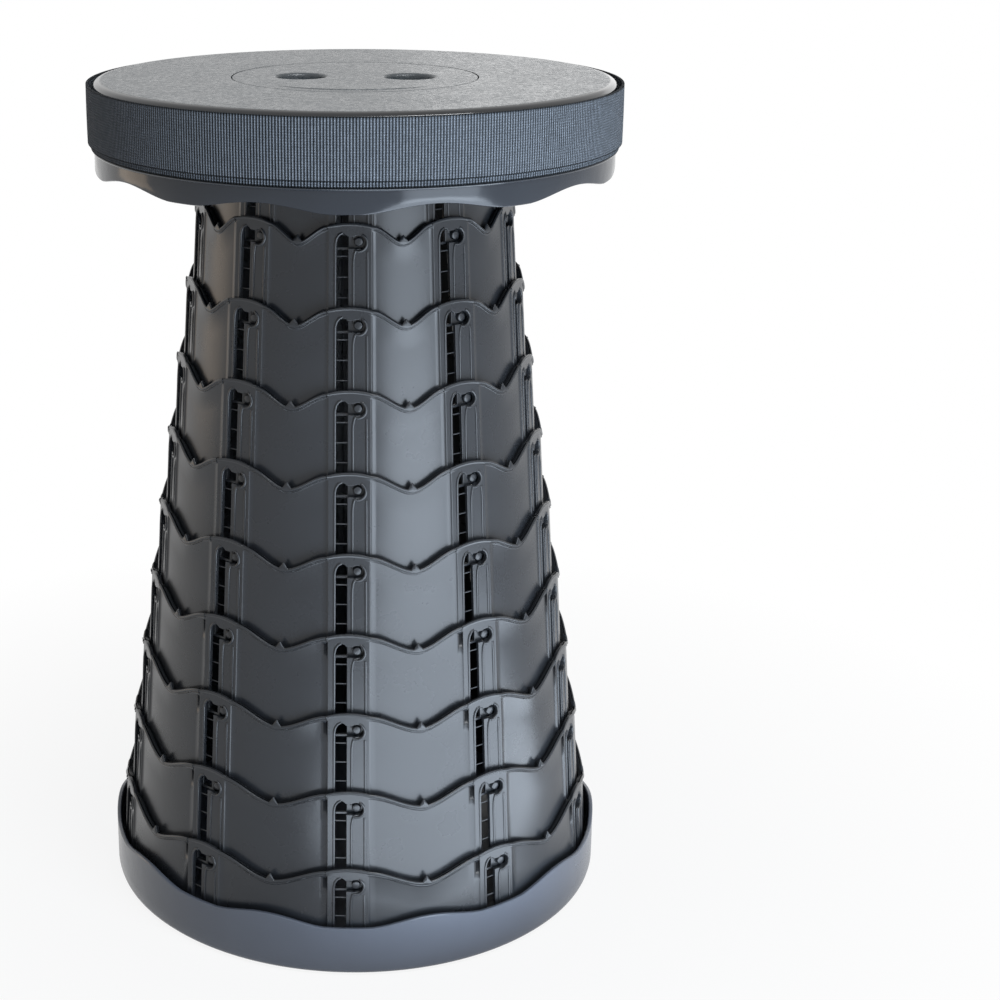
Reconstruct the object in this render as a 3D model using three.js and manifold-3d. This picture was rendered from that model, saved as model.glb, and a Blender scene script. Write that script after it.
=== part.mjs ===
// Collapsible telescopic stool, pulled out to its full height. Millimetres, +Z up.
// The origin is the centre of the base's underside. Ten tapered rings hang in each other
// between the seat and the base: ring 1 is fixed to the seat and ring 10 to the base.
// The front faces -Y, and the carrying strap hangs at the back.

import * as THREE from 'three';
import Module from 'manifold-3d';
import { mergeVertices } from 'three/addons/utils/BufferGeometryUtils.js';

const wasm = await Module();
wasm.setup();

// Driving dimensions of the whole stool
const ringCount = 10;
const bandCount = 10;
const stoolHeight = 450;
const ringOverlap = 14;
const baseRadius = 138.6;
const seatInset = 1.6;
const seatBoxHeight = 17;
const capRadius = 64.5;
const seatGap = 0.3;
const runningGap = 0.8;
const overrun = 5;

// Rings: a tapered wall with a wavy top edge, a flat band at each crest and a tick in each valley.
// The standoff is the room round ring 10 in the tray, the margin is ring 1's beyond the cap.
const ringWall = 2;
const ringStandoff = 1.3;
const ringMargin = 13;
const waveDepth = 10;
const bandWidth = 23;
const tickWidth = 5;
const tickHeight = 3.6;

// Locks: a pin near the foot of a band, and the slot and pocket that take the next ring's pin
const pinRadius = 2.6;
const pinReach = 1;
const pinRoot = 0.8;
const pinAcross = 4.2;
const pinRise = 4.2;
const pinSides = 6;
const slotWidth = 5.8;
const slotAcross = 3.9;
const slotFoot = 4;
const slotCorner = 1.8;
const pocketRadius = 3.8;
const pinPlay = 0.3;

// Seat: a lid with a rim, a scalloped skirt whose web carries ring 1, and a cap in the middle
const lidThickness = 3.4;
const rimWall = 2.2;
const lidEdge = 3.4;
const lidEdgeShoulder = 0.8;
const skirtLobe = 30.5;
const skirtArch = 26;
const webThickness = 2.4;
const flangeWidth = 12;
const flangeThickness = 2;
const capThickness = 3.2;
const capGap = 0.5;
const capBevel = 0.5;
const ledgeWidth = 6;
const ledgeThickness = 3.2;
const fingerRadius = 13.2;
const fingerSpacing = 57;
const fingerBevel = 1.2;
const fingerSides = 20;
const sleeveWall = 2.2;
const sleeveDepth = 13;
const hookCount = 4;
const hookWidth = 10;
const hookThickness = 2;
const hookNub = 1.5;
const hookNubHeight = 3;

// Screws that clamp ring 1's flange between the skirt's web and the lid's bosses
const screwCount = 5;
const screwRadius = 1.75;
const screwHeadRadius = 3.4;
const screwHeadHeight = 1.8;
const screwBite = 8;
const bossRadius = 4.2;
const screwSides = 8;

// Base tray and its rubber feet
const floorThickness = 2.5;
const trayWall = 2.2;
const trayBevel = 3;
const rimLow = 27;
const rimHigh = 31.5;
const footCount = 5;
const footRadius = 8;
const footMargin = 4;
const footThickness = 1.4;
const footStandProud = 1;
const footSides = 12;

// Webbing belt in two turns, its loose end and the carrying strap
const webbingWidth = 30;
const webbingThickness = 1.3;
const beltDrop = 1.5;
const beltStagger = 3;
const beltEndAngle = THREE.MathUtils.degToRad(128);
const tabLength = 42;
const tabThickness = 2;
const tabWidth = 26;
const tabLift = 2.4;
const strapHalfSpan = 47;
const strapDrop = 54;
const strapTilt = THREE.MathUtils.degToRad(60);
const strapWidth = 25;
const strapEndWidth = 4;
const strapTaper = 0.9;
const strapBackset = 2.5;

// Radii that follow from the base and the cap: the largest ring stands inside the tray, the
// smallest stays clear of the cap, and each ring's foot just fits inside the next ring's top
const seatRadius = baseRadius - seatInset;
const capOpening = capRadius + capGap;
const innerRingTopRadius = capOpening + ringMargin;
const outerRingFootRadius = baseRadius - trayWall - ringStandoff;
const ringStep = (outerRingFootRadius + ringWall + seatGap - innerRingTopRadius) / ringCount;
const ringSpread = ringStep - ringWall - seatGap;
const ringTopRadius = (ring) => innerRingTopRadius + (ring - 1) * ringStep;

// Heights that follow from the stool's height and its stack of rings
const seatTop = stoolHeight - footStandProud;
const webTop = seatTop - seatBoxHeight;
const webUnderside = webTop - webThickness;
const ringStack = webUnderside - runningGap - floorThickness - seatGap;
const ringTravel = (ringStack - ringOverlap) / ringCount;
const ringHeight = ringTravel + ringOverlap;
const ringSlope = ringSpread / ringHeight;
const ringFoot = (ring) => floorThickness + seatGap + (ringCount - ring) * ringTravel;
const ringCrest = (ring) => ringFoot(ring) + ringHeight;
const lidUnderside = seatTop - lidThickness;
const ledgeRadius = capOpening - ledgeWidth;
const ledgeTop = seatTop - capThickness - seatGap;
const ledgeUnderside = ledgeTop - ledgeThickness;

const glossPlastic = { color: 0x23262b, roughness: 0.22, metalness: 0 };
const satinPlastic = { color: 0x2a2d33, roughness: 0.42, metalness: 0 };
const nylon = { color: 0x1d2026, roughness: 0.85, metalness: 0 };
const rubber = { color: 0x151515, roughness: 0.9, metalness: 0 };
const steel = { color: 0x8d9096, roughness: 0.3, metalness: 1 };

const stool = new THREE.Group();

function addPart(name, geometry, finish) {
  const mesh = new THREE.Mesh(geometry, new THREE.MeshStandardMaterial(finish));
  mesh.name = name;
  stool.add(mesh);
  return mesh;
}

// Position-only indexed geometry, as a solid for joining and cutting
function solidOf(geometry) {
  const plain = geometry.clone();
  plain.deleteAttribute('normal');
  plain.deleteAttribute('uv');
  const merged = mergeVertices(plain);
  const vertProperties = new Float32Array(merged.attributes.position.array);
  const triVerts = new Uint32Array(merged.index.array);
  return new wasm.Manifold(new wasm.Mesh({ numProp: 3, vertProperties, triVerts }));
}

function geometryOf(solid) {
  const mesh = solid.getMesh();
  const geometry = new THREE.BufferGeometry();
  geometry.setAttribute('position', new THREE.BufferAttribute(new Float32Array(mesh.vertProperties), 3));
  geometry.setIndex(new THREE.BufferAttribute(new Uint32Array(mesh.triVerts), 1));
  geometry.computeVertexNormals();
  return geometry;
}

// Closed skin over rows of points: each row is one section, and every section has the same
// number of points, in order round it. A ring of sections closes on itself, a bar is capped.
function skin(sections, closesOnItself) {
  const points = sections.flat();
  const perSection = sections[0].length;
  const index = [];
  const rows = closesOnItself ? sections.length : sections.length - 1;
  for (let row = 0; row < rows; row += 1) {
    const here = row * perSection;
    const next = ((row + 1) % sections.length) * perSection;
    for (let i = 0; i < perSection; i += 1) {
      const j = (i + 1) % perSection;
      pushFace(index, points, here + i, next + i, next + j);
      pushFace(index, points, here + i, next + j, here + j);
    }
  }
  if (!closesOnItself) {
    const last = (sections.length - 1) * perSection;
    for (let i = 1; i < perSection - 1; i += 1) {
      index.push(0, i, i + 1);
      index.push(last, last + i + 1, last + i);
    }
  }
  const geometry = new THREE.BufferGeometry().setFromPoints(points);
  geometry.setIndex(index);
  const merged = mergeVertices(geometry);
  merged.computeVertexNormals();
  return merged;
}

// Faces that shrink to a line on the axis are left out
function pushFace(index, points, a, b, c) {
  if (points[a].equals(points[b])) return;
  if (points[b].equals(points[c])) return;
  if (points[c].equals(points[a])) return;
  index.push(a, b, c);
}

// Angle 0 is the front, -Y, and angles grow towards +X
function around(angle, radius, height) {
  return new THREE.Vector3(radius * Math.sin(angle), -radius * Math.cos(angle), height);
}

// Sweeps a closed outline of [radius, height] points round the axis
function sweep(angles, outlineAt) {
  const sections = angles.map((angle, column) => outlineAt(column).map(([r, z]) => around(angle, r, z)));
  return skin(sections, true);
}

// Seat, belt and tray share four columns to each band, so that what nests keeps an even gap.
// The first and last lie beside the band's middle, the other two between this band and the next.
const bandAngle = (2 * Math.PI) / bandCount;
const columnsPerBand = 4;
const evenColumns = Array.from(
  { length: columnsPerBand * bandCount },
  (_, column) => ((column + 0.5) * bandAngle) / columnsPerBand,
);

// Places a shape built at the front, facing -Y, at another angle
function turnedTo(geometry, angle) {
  return geometry.clone().rotateZ(angle);
}

function cylinder(radius, bottom, top, sides) {
  const shape = new THREE.CylinderGeometry(radius, radius, top - bottom, sides);
  return shape.rotateX(Math.PI / 2).translate(0, 0, (top + bottom) / 2);
}

// A ring's wall: five columns to each band, which are the band's two edges and the tick
function ringColumns(ring) {
  const radius = ringTopRadius(ring) + ringSpread / 2;
  const bandHalf = Math.asin(bandWidth / 2 / radius);
  const tickHalf = tickWidth / 2 / radius;
  const angles = [];
  const drops = [];
  for (let band = 0; band < bandCount; band += 1) {
    const crest = band * bandAngle;
    const valley = crest + bandAngle / 2;
    angles.push(crest - bandHalf, crest + bandHalf, valley - tickHalf, valley, valley + tickHalf);
    drops.push(0, 0, waveDepth, waveDepth - tickHeight, waveDepth);
  }
  return { angles, drops };
}

function ringOutline(ring, drop) {
  const foot = ringFoot(ring);
  const top = ringCrest(ring) - drop;
  const radiusAt = (height) => ringTopRadius(ring) + ringSlope * (ringCrest(ring) - height);
  const inner = (height) => radiusAt(height) - ringWall;
  return [[radiusAt(foot), foot], [radiusAt(top), top], [inner(top), top], [inner(foot), foot]];
}

// Ring 1 has no wave: its wall runs up through the skirt's web and ends in a flange on it
function firstRingOutline() {
  const foot = ringFoot(1);
  const flangeFoot = webTop + seatGap;
  const flangeTop = flangeFoot + flangeThickness;
  const radiusAt = (height) => ringTopRadius(1) + ringSlope * (ringCrest(1) - height);
  const flangeRadius = ringTopRadius(1) + flangeWidth;
  return [
    [radiusAt(foot), foot],
    [radiusAt(flangeFoot), flangeFoot],
    [flangeRadius, flangeFoot],
    [flangeRadius, flangeTop],
    [radiusAt(flangeTop) - ringWall, flangeTop],
    [radiusAt(foot) - ringWall, foot],
  ];
}

// Distance of a ring's flat band from the axis at a height, on its outer face
function bandFace(ring, height) {
  const radius = ringTopRadius(ring) + ringSlope * (ringCrest(ring) - height);
  const columnRadius = ringTopRadius(ring) + ringSpread / 2;
  return radius * Math.cos(Math.asin(bandWidth / 2 / columnRadius));
}

const pinHeight = (ring) => ringFoot(ring) + pinRise;
const pinTip = (ring) => bandFace(ring + 1, pinHeight(ring)) - ringWall + pinReach;

// An outline in the band's plane, [across, height], cut or raised between two distances from the axis
function bandPrism(outline, near, far) {
  const shape = new THREE.Shape(outline.map(([across, height]) => new THREE.Vector2(across, height)));
  const solid = new THREE.ExtrudeGeometry(shape, { depth: far - near, bevelEnabled: false });
  return solid.rotateX(Math.PI / 2).translate(0, -near, 0);
}

// Slot for the sliding pin, open at its top into the pocket where the pin rests when locked
function slotOutline(ring) {
  const lockHeight = pinHeight(ring) + ringTravel;
  const slotLeft = -slotAcross - slotWidth / 2;
  const slotRight = -slotAcross + slotWidth / 2;
  const slotBottom = ringFoot(ring) + slotFoot;
  const shelf = lockHeight - pinRadius - pinPlay;
  const pocketRight = pinAcross + pocketRadius;
  const pocketTop = lockHeight + pocketRadius;
  return [
    [slotLeft, slotBottom],
    [slotRight, slotBottom],
    [slotRight, shelf],
    [pocketRight, shelf],
    [pocketRight, pocketTop - slotCorner],
    [pocketRight - slotCorner, pocketTop],
    [slotLeft + slotCorner, pocketTop],
    [slotLeft, pocketTop - slotCorner],
  ];
}

// Relief inside the band, below the pocket, which the pin's tip passes on its way down
function reliefOutline(ring) {
  const left = pinAcross - pinRadius - pinPlay;
  const right = pinAcross + pinRadius + pinPlay;
  const top = pinHeight(ring) + ringTravel - pinRadius - pinPlay / 2;
  const bottom = ringFoot(ring) - overrun;
  return [[left, bottom], [right, bottom], [right, top], [left, top]];
}

function makeRing(ring) {
  const { angles, drops } = ringColumns(ring);
  const outlineAt = (column) => (ring === 1 ? firstRingOutline() : ringOutline(ring, drops[column]));
  let solid = solidOf(sweep(angles, outlineAt));
  const inside = ringTopRadius(ring) - ringWall - overrun;
  const outside = ringTopRadius(ring) + ringSpread + overrun;
  const slot = bandPrism(slotOutline(ring), inside, outside);
  for (let band = 0; band < bandCount; band += 1) {
    const angle = band * bandAngle;
    solid = solid.subtract(solidOf(turnedTo(slot, angle)));
    if (ring > 1) {
      const relief = bandPrism(reliefOutline(ring), inside, pinTip(ring - 1) + seatGap);
      solid = solid.subtract(solidOf(turnedTo(relief, angle)));
    }
    if (ring < ringCount) solid = solid.add(solidOf(turnedTo(makePin(ring), angle)));
  }
  if (ring === 1) {
    for (let screw = 0; screw < screwCount; screw += 1) {
      solid = solid.subtract(solidOf(screwHole(screw, webTop, seatTop - lidThickness)));
    }
  }
  addPart(`ring_${ring}`, geometryOf(solid), glossPlastic);
}

function makePin(ring) {
  const root = bandFace(ring, pinHeight(ring)) - pinRoot;
  const tip = pinTip(ring);
  const pin = new THREE.CylinderGeometry(pinRadius, pinRadius, tip - root, pinSides);
  return pin.translate(pinAcross, -(root + tip) / 2, pinHeight(ring));
}

// Screws stand in the valleys between the bands, where the rings' edges are lowest
const screwAngle = (screw) => bandAngle / 2 + (screw * 2 * Math.PI) / screwCount;
const screwCircle = ringTopRadius(1) + flangeWidth / 2;

function screwHole(screw, bottom, top) {
  const hole = cylinder(screwRadius + seatGap, bottom, top, screwSides);
  return turnedTo(hole.translate(0, -screwCircle, 0), screwAngle(screw));
}

function makeScrew(screw) {
  const headTop = webUnderside - seatGap;
  const headBottom = headTop - screwHeadHeight;
  const tip = webTop + flangeThickness + screwBite;
  const profile = [
    [0, headBottom],
    [screwHeadRadius, headBottom],
    [screwHeadRadius, headTop],
    [screwRadius, headTop],
    [screwRadius, tip],
    [0, tip],
  ];
  const turned = new THREE.LatheGeometry(profile.map(([r, z]) => new THREE.Vector2(r, z)), screwSides);
  const upright = turned.rotateX(Math.PI / 2).translate(0, -screwCircle, 0);
  addPart(`seat_screw_${screw + 1}`, geometryOf(solidOf(turnedTo(upright, screwAngle(screw)))), steel);
}

function makeLid() {
  const outline = [
    [capOpening, seatTop],
    [capOpening, ledgeTop],
    [ledgeRadius, ledgeTop],
    [ledgeRadius, ledgeUnderside],
    [capOpening + ledgeThickness, lidUnderside],
    [seatRadius - rimWall, lidUnderside],
    [seatRadius - rimWall, webTop + seatGap],
    [seatRadius, webTop + seatGap],
    [seatRadius, seatTop - lidEdge],
    [seatRadius - lidEdgeShoulder, seatTop - lidEdgeShoulder],
    [seatRadius - lidEdge, seatTop],
  ];
  let solid = solidOf(sweep(evenColumns, () => outline));
  const bossFoot = webTop + 2 * seatGap + flangeThickness;
  for (let screw = 0; screw < screwCount; screw += 1) {
    const boss = cylinder(bossRadius, bossFoot, lidUnderside + lidThickness / 2, screwSides);
    solid = solid.add(solidOf(turnedTo(boss.translate(0, -screwCircle, 0), screwAngle(screw))));
    solid = solid.subtract(solidOf(screwHole(screw, webTop, lidUnderside)));
  }
  addPart('seat_lid', geometryOf(solid), satinPlastic);
}

// The skirt's lower edge hangs in a lobe at each band and arches up between them
function skirtEdge(column) {
  const arch_shares = [0, 1, 1, 0];
  return webTop - skirtLobe + (skirtLobe - skirtArch) * arch_shares[column % columnsPerBand];
}

function makeSkirt() {
  const inner = seatRadius - rimWall;
  const collar = ringTopRadius(1) + runningGap;
  let solid = solidOf(sweep(evenColumns, (column) => [
    [seatRadius, skirtEdge(column)],
    [seatRadius, webTop],
    [collar, webTop],
    [collar, webUnderside],
    [inner, webUnderside],
    [inner, skirtEdge(column)],
  ]));
  for (let screw = 0; screw < screwCount; screw += 1) {
    solid = solid.subtract(solidOf(screwHole(screw, webUnderside - overrun, webTop + overrun)));
  }
  addPart('seat_skirt', geometryOf(solid), glossPlastic);
}

// The cap lies flush in the lid. Two finger holes run down through sleeves, and hooks under
// its edge snap below the lid's ledge.
function makeCap() {
  const underside = seatTop - capThickness;
  let solid = solidOf(sweep(evenColumns, () => [
    [0, seatTop],
    [0, underside],
    [capRadius, underside],
    [capRadius, seatTop - capBevel],
    [capRadius - capBevel, seatTop],
  ]));
  const sleeveFoot = seatTop - sleeveDepth;
  for (const side of [-1, 1]) {
    const across = (side * fingerSpacing) / 2;
    const sleeve = cylinder(fingerRadius + sleeveWall, sleeveFoot, underside + capBevel, fingerSides);
    solid = solid.add(solidOf(sleeve.translate(across, 0, 0)));
    const cutter = new THREE.LatheGeometry([
      new THREE.Vector2(0, sleeveFoot - overrun),
      new THREE.Vector2(fingerRadius, sleeveFoot - overrun),
      new THREE.Vector2(fingerRadius, seatTop - fingerBevel),
      new THREE.Vector2(fingerRadius + fingerBevel + overrun, seatTop + overrun),
      new THREE.Vector2(0, seatTop + overrun),
    ], fingerSides);
    solid = solid.subtract(solidOf(cutter.rotateX(Math.PI / 2).translate(across, 0, 0)));
  }
  for (let hook = 0; hook < hookCount; hook += 1) {
    const angle = Math.PI / hookCount + (hook * 2 * Math.PI) / hookCount;
    solid = solid.add(solidOf(turnedTo(makeHook(underside), angle)));
  }
  addPart('centre_cap', geometryOf(solid), satinPlastic);
}

function makeHook(underside) {
  const face = ledgeRadius - runningGap;
  const nubTop = ledgeUnderside - seatGap;
  const outline = [
    [face - hookThickness, underside + capBevel],
    [face - hookThickness, nubTop - hookNubHeight],
    [face, nubTop - hookNubHeight],
    [face + hookNub, nubTop],
    [face, nubTop],
    [face, underside + capBevel],
  ];
  const shape = new THREE.Shape(outline.map(([r, z]) => new THREE.Vector2(r, z)));
  const bar = new THREE.ExtrudeGeometry(shape, { depth: hookWidth, bevelEnabled: false });
  return bar.translate(0, 0, -hookWidth / 2).rotateX(Math.PI / 2).rotateZ(-Math.PI / 2);
}

// The tray's rim is low at each band and arches up between them, against the skirt's lobes
function trayRim(column) {
  const arch_shares = [0, 1, 1, 0];
  return rimLow + (rimHigh - rimLow) * arch_shares[column % columnsPerBand];
}

const footAngle = (foot) => (foot * 2 * Math.PI) / footCount;
const footCircle = baseRadius - trayBevel - footRadius - footMargin;

function makeTray() {
  const inner = baseRadius - trayWall;
  let solid = solidOf(sweep(evenColumns, (column) => [
    [0, 0],
    [baseRadius - trayBevel, 0],
    [baseRadius, trayBevel],
    [baseRadius, trayRim(column)],
    [inner, trayRim(column)],
    [inner, floorThickness],
    [0, floorThickness],
  ]));
  const pocketDepth = footThickness - footStandProud + seatGap;
  for (let foot = 0; foot < footCount; foot += 1) {
    const pocket = cylinder(footRadius + seatGap, -overrun, pocketDepth, footSides);
    solid = solid.subtract(solidOf(turnedTo(pocket.translate(0, -footCircle, 0), footAngle(foot))));
  }
  addPart('base_tray', geometryOf(solid), glossPlastic);
}

function makeFoot(foot) {
  const pad = cylinder(footRadius, -footStandProud, footThickness - footStandProud, footSides);
  const placed = turnedTo(pad.translate(0, -footCircle, 0), footAngle(foot));
  addPart(`foot_pad_${foot + 1}`, geometryOf(solidOf(placed)), rubber);
}

// The belt's inner turn runs right round the rim. The outer turn stops short at the back.
const beltTop = seatTop - beltDrop;
const innerTurnRadius = seatRadius + seatGap;
const outerTurnRadius = innerTurnRadius + webbingThickness + seatGap;

function webbingSection(angle, radius, thickness, bottom, top) {
  return [
    around(angle, radius, bottom),
    around(angle, radius + thickness, bottom),
    around(angle, radius + thickness, top),
    around(angle, radius, top),
  ];
}

function makeBelt() {
  const innerTop = beltTop - beltStagger;
  const inner = evenColumns.map((angle) =>
    webbingSection(angle, innerTurnRadius, webbingThickness, innerTop - webbingWidth, innerTop));
  addPart('belt_inner_turn', skin(inner, true), nylon);
  const angles = evenColumns.map((angle) => (angle > Math.PI ? angle - 2 * Math.PI : angle));
  const inside = angles.filter((angle) => Math.abs(angle) < beltEndAngle).sort((a, b) => a - b);
  const outer = [-beltEndAngle, ...inside, beltEndAngle].map((angle) =>
    webbingSection(angle, outerTurnRadius, webbingThickness, beltTop - webbingWidth, beltTop));
  addPart('belt_outer_turn', skin(outer, false), nylon);
}

// Hook-and-loop tab on the belt's free end, whose tip stands off the belt a little
function makeTab() {
  const steps = 4;
  const start = beltEndAngle + seatGap / outerTurnRadius;
  const middle = beltTop - webbingWidth / 2;
  const sections = [];
  for (let step = 0; step <= steps; step += 1) {
    const share = step / steps;
    const radius = outerTurnRadius + tabLift * share * share;
    const angle = start + (share * tabLength) / outerTurnRadius;
    sections.push(webbingSection(angle, radius, tabThickness, middle - tabWidth / 2, middle + tabWidth / 2));
  }
  addPart('belt_end_tab', skin(sections, false), nylon);
}

// The carrying strap is a bow between two points on the belt. It hangs down and away from
// them, and turns about the line through both.
const strapPivotHeight = beltTop - beltStagger - webbingWidth / 2;
const beltFace = innerTurnRadius + webbingThickness;
const strapPivotBack = Math.sqrt(beltFace ** 2 - strapHalfSpan ** 2) + strapBackset;

function makeStrap() {
  const steps = 20;
  const along = new THREE.Vector3(0, Math.cos(strapTilt), -Math.sin(strapTilt));
  const sideways = new THREE.Vector3(0, Math.sin(strapTilt), Math.cos(strapTilt));
  const sections = [];
  for (let step = 0; step <= steps; step += 1) {
    const turn = (Math.PI * step) / steps;
    const reach = strapDrop * Math.sin(turn);
    const centre = new THREE.Vector3(-strapHalfSpan * Math.cos(turn), strapPivotBack, strapPivotHeight);
    centre.addScaledVector(along, reach);
    const outward = new THREE.Vector3(-strapDrop * Math.cos(turn), 0, 0);
    outward.addScaledVector(along, strapHalfSpan * Math.sin(turn)).normalize();
    const halfWidth = Math.min(strapWidth, strapEndWidth + strapTaper * reach) / 2;
    const halfThickness = webbingThickness / 2;
    const corner = (across, out) =>
      centre.clone().addScaledVector(sideways, across).addScaledVector(outward, out);
    sections.push([
      corner(-halfWidth, -halfThickness),
      corner(halfWidth, -halfThickness),
      corner(halfWidth, halfThickness),
      corner(-halfWidth, halfThickness),
    ]);
  }
  addPart('carrying_strap', skin(sections, false), nylon);
}

makeTray();
for (let foot = 0; foot < footCount; foot += 1) makeFoot(foot);
for (let ring = ringCount; ring >= 1; ring -= 1) makeRing(ring);
makeSkirt();
makeLid();
for (let screw = 0; screw < screwCount; screw += 1) makeScrew(screw);
makeCap();
makeBelt();
makeTab();
makeStrap();

export default stool;
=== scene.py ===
import math

import bmesh
import bpy
from mathutils import Matrix, Vector


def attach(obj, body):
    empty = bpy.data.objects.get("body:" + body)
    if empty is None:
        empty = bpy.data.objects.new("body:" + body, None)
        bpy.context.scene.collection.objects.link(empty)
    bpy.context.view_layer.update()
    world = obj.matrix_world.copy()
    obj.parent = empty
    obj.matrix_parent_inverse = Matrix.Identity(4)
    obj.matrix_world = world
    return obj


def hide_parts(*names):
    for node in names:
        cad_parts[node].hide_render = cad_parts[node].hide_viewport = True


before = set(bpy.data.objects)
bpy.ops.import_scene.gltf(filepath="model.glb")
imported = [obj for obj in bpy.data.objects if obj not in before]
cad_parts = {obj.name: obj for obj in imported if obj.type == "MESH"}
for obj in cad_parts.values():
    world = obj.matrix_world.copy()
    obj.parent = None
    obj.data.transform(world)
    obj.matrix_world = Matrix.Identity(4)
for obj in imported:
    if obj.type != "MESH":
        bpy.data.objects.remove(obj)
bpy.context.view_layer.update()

# ---- Camera ----
# It stands a metre in front of the stool and looks down a little, from where the photograph
# was taken. The stool stands left of the middle of the picture.
camera_data = bpy.data.cameras.new("camera")
camera_data.sensor_width = 36
camera_data.lens = 68.14
camera_data.shift_x = 0.145
camera_data.shift_y = -0.10
camera_data.clip_end = 20
camera = bpy.data.objects.new("camera", camera_data)
camera_height = 0.5695
camera_dip = 16.58
camera_turn = math.radians(1.6)
camera.location = (math.sin(camera_turn), -math.cos(camera_turn), camera_height)
camera.rotation_euler = (math.radians(90 - camera_dip), 0, camera_turn)
bpy.context.scene.collection.objects.link(camera)
bpy.context.scene.camera = camera
bpy.context.scene.view_settings.view_transform = "Standard"


# ---- Floor and light ----
# A plain pale floor that shows white to the camera and keeps the stool's shadow. The light is
# soft daylight from a wide window at the front right, with a pale card low in front of it, a
# strip above, and weak windows at the left and at the back.
class Sock:
    """A shader socket that adds, scales and mixes like a number, one node for each step."""

    def __init__(self, tree, socket=None):
        self.tree = tree
        self.socket = socket

    def node(self, kind, inputs=(), out=0, **settings):
        made = self.tree.nodes.new(kind)
        for name, value in settings.items():
            setattr(made, name, value)
        for name, value in dict(inputs).items():
            if isinstance(value, Sock):
                self.tree.links.new(value.socket, made.inputs[name])
            else:
                made.inputs[name].default_value = value
        return Sock(self.tree, made.outputs[out])

    def math(self, operation, *values):
        return self.node("ShaderNodeMath", dict(enumerate(values)), operation=operation)

    def __add__(self, other):
        return self.math("ADD", self, other)

    def __radd__(self, other):
        return self.math("ADD", other, self)

    def __sub__(self, other):
        return self.math("SUBTRACT", self, other)

    def __rsub__(self, other):
        return self.math("SUBTRACT", other, self)

    def __mul__(self, other):
        return self.math("MULTIPLY", self, other)

    def __rmul__(self, other):
        return self.math("MULTIPLY", other, self)

    def clip(self):
        return self.node("ShaderNodeClamp", {0: self})

    def mix(self, low, high):
        return self.node("ShaderNodeMix", {0: self, 6: low, 7: high}, out=2, data_type="RGBA")

    def noise(self, scale, detail=3, roughness=0.5):
        return self.node(
            "ShaderNodeTexNoise",
            {"Vector": self, "Scale": scale, "Detail": detail, "Roughness": roughness},
        )


def finish_of(name):
    """A new material, its Object coordinates, and what sets or links its shader's sockets."""
    material = bpy.data.materials.new(name)
    material.use_nodes = True
    tree = material.node_tree
    shader = tree.nodes["Principled BSDF"]
    place = Sock(tree).node("ShaderNodeTexCoord", out="Object")

    def dress(**values):
        for key, value in values.items():
            socket = shader.inputs[key.replace("_", " ")]
            if isinstance(value, Sock):
                tree.links.new(value.socket, socket)
            else:
                socket.default_value = value

    return material, place, dress


def white_rays(tree):
    """1 for the rays that see plain white: the camera's, and those off metal and glass."""
    rays = Sock(tree).node("ShaderNodeLightPath", out="Is Camera Ray")
    for ray_kind in ("Is Glossy Ray", "Is Transmission Ray"):
        rays = rays.math("MAXIMUM", rays, rays.node("ShaderNodeLightPath", out=ray_kind))
    return rays


floor_height = -0.00105
floor_half = 4
floor_mesh = bmesh.new()
bmesh.ops.create_grid(floor_mesh, x_segments=1, y_segments=1, size=floor_half)
bmesh.ops.translate(floor_mesh, verts=floor_mesh.verts, vec=(0, 0, floor_height))
floor_data = bpy.data.meshes.new("floor")
floor_mesh.to_mesh(floor_data)
floor_mesh.free()
floor = bpy.data.objects.new("floor", floor_data)
bpy.context.scene.collection.objects.link(floor)
floor_material, floor_place, dress_floor = finish_of("white_floor")
dress_floor(Base_Color=(0.62, 0.62, 0.62, 1), Roughness=0.6, Specular_IOR_Level=0.2)
floor_tree = floor_material.node_tree
from_stool = floor_place.node("ShaderNodeVectorMath", {0: floor_place}, out=1, operation="LENGTH")
shadow_reach = 0.16
near_white = 0.88
far_share = ((from_stool - shadow_reach) * 3).clip()
white_share = white_rays(floor_tree) * (near_white + (1 - near_white) * far_share)
floor_shader = Sock(floor_tree, floor_tree.nodes["Principled BSDF"].outputs[0])
plain_white = floor_place.node("ShaderNodeEmission")
floor_mix = floor_place.node(
    "ShaderNodeMixShader", {0: white_share, 1: floor_shader, 2: plain_white}
)
floor_tree.links.new(floor_mix.socket, floor_tree.nodes["Material Output"].inputs[0])
floor_data.materials.append(floor_material)

world = bpy.data.worlds.new("studio")
world.use_nodes = True
bpy.context.scene.world = world
world_tree = world.node_tree
surround = white_rays(world_tree).mix((0.15, 0.165, 0.19, 1), (1, 1, 1, 1))
world_tree.links.new(surround.socket, world_tree.nodes["Background"].inputs[0])


def soft_window(name, place, aim, width, height, watts, colour):
    """A rectangular lamp that faces a point and isn't seen by the camera."""
    data = bpy.data.lights.new(name, "AREA")
    data.shape = "RECTANGLE"
    data.size = width
    data.size_y = height
    data.energy = watts
    data.color = colour
    lamp = bpy.data.objects.new(name, data)
    lamp.location = place
    lamp.rotation_euler = (Vector(aim) - Vector(place)).to_track_quat("-Z", "Y").to_euler()
    lamp.visible_camera = False
    bpy.context.scene.collection.objects.link(lamp)
    return lamp


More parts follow.
